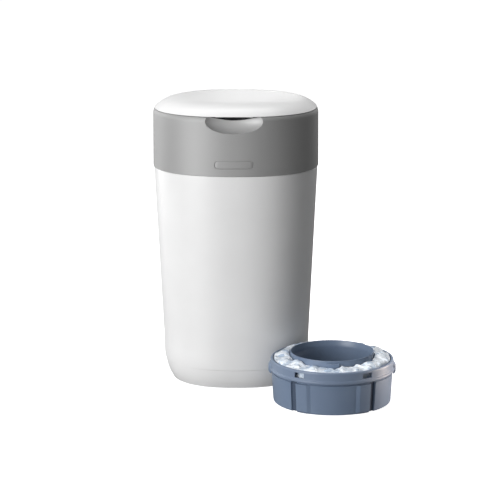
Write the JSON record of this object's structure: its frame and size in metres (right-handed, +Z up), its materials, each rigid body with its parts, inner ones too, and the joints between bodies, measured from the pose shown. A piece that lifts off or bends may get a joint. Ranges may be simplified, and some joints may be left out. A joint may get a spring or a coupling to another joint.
{
  "type": "nappy bin",
  "caption": "Rounded-square nappy bin with tilting grey head, domed lid, twist-and-seal film cassette inside and a refill cassette beside it.",
  "frame": {"origin": "middle of the flat underside of the tub, on the floor", "axes": "+Z up, -Y is the front with the finger scoop, +X is the side where the refill cassette stands"},
  "size_m": [0.3632, 0.3782, 0.4319],
  "materials": {
    "tub_white": "smooth moulded, low gloss",
    "pad_rubber": "matt rubber",
    "pin_steel": "drawn wire",
    "collar_grey": "fine satin texture",
    "liner_grey": "satin",
    "base_grey": "satin",
    "screw_steel": "zinc plated",
    "spring_acetal": "waxy moulded",
    "grip_elastomer": "soft matt elastomer",
    "slider_blue": "satin",
    "blade_steel": "ground steel",
    "lid_white": "smooth moulded, low gloss",
    "lining_white": "satin",
    "seal_elastomer": "soft matt elastomer",
    "ring_blue_grey": "satin",
    "casing_blue": "satin moulded",
    "band_blue": "satin moulded",
    "funnel_blue": "satin moulded",
    "film": "thin crumpled film"
  },
  "bodies": {
    "tub": {"tub_shell": "tub_white", "foot_pads": "pad_rubber", "head_hinge_pin": "pin_steel"},
    "head": {"collar_shell": "collar_grey", "collar_liner": "liner_grey", "head_base": "base_grey", "base_screws": "screw_steel", "lid_hinge_pin": "pin_steel", "click_spring": "spring_acetal", "film_grip": "grip_elastomer", "cutter_track": "base_grey"},
    "cutter": {"cutter_slider": "slider_blue", "cutter_blade": "blade_steel"},
    "lid": {"lid_shell": "lid_white", "lid_lining": "lining_white", "lid_seal": "seal_elastomer"},
    "twister": {"twist_ring": "ring_blue_grey", "cassette_casing": "casing_blue", "cassette_band": "band_blue", "cassette_collar": "funnel_blue", "cassette_film": "film"},
    "refill": {"refill_casing": "casing_blue", "refill_band": "band_blue", "refill_collar": "funnel_blue", "refill_film": "film"}
  },
  "joints": [
    {"name": "head_tilt", "type": "hinge", "parent": "tub", "child": "head", "pos_m": [0, 0.1285, 0.33], "axis": [-1, 0, 0], "range_deg": [0, 80]},
    {"name": "lid_hinge", "type": "hinge", "parent": "head", "child": "lid", "pos_m": [0, 0.1245, 0.41435], "axis": [-1, 0, 0], "range_deg": [0, 100]},
    {"name": "ring_twist", "type": "hinge", "parent": "head", "child": "twister", "pos_m": [0, 0, 0.3353], "axis": [0, 0, 1], "continuous": true},
    {"name": "cutter_slide", "type": "slide", "parent": "head", "child": "cutter", "axis": [1, 0, 0], "range_m": [0, 0.1]},
    {"name": "refill_lift", "type": "slide", "parent": "tub", "child": "refill", "axis": [0.5, -0.55, 0.669], "range_m": [0, 0.2]}
  ]
}
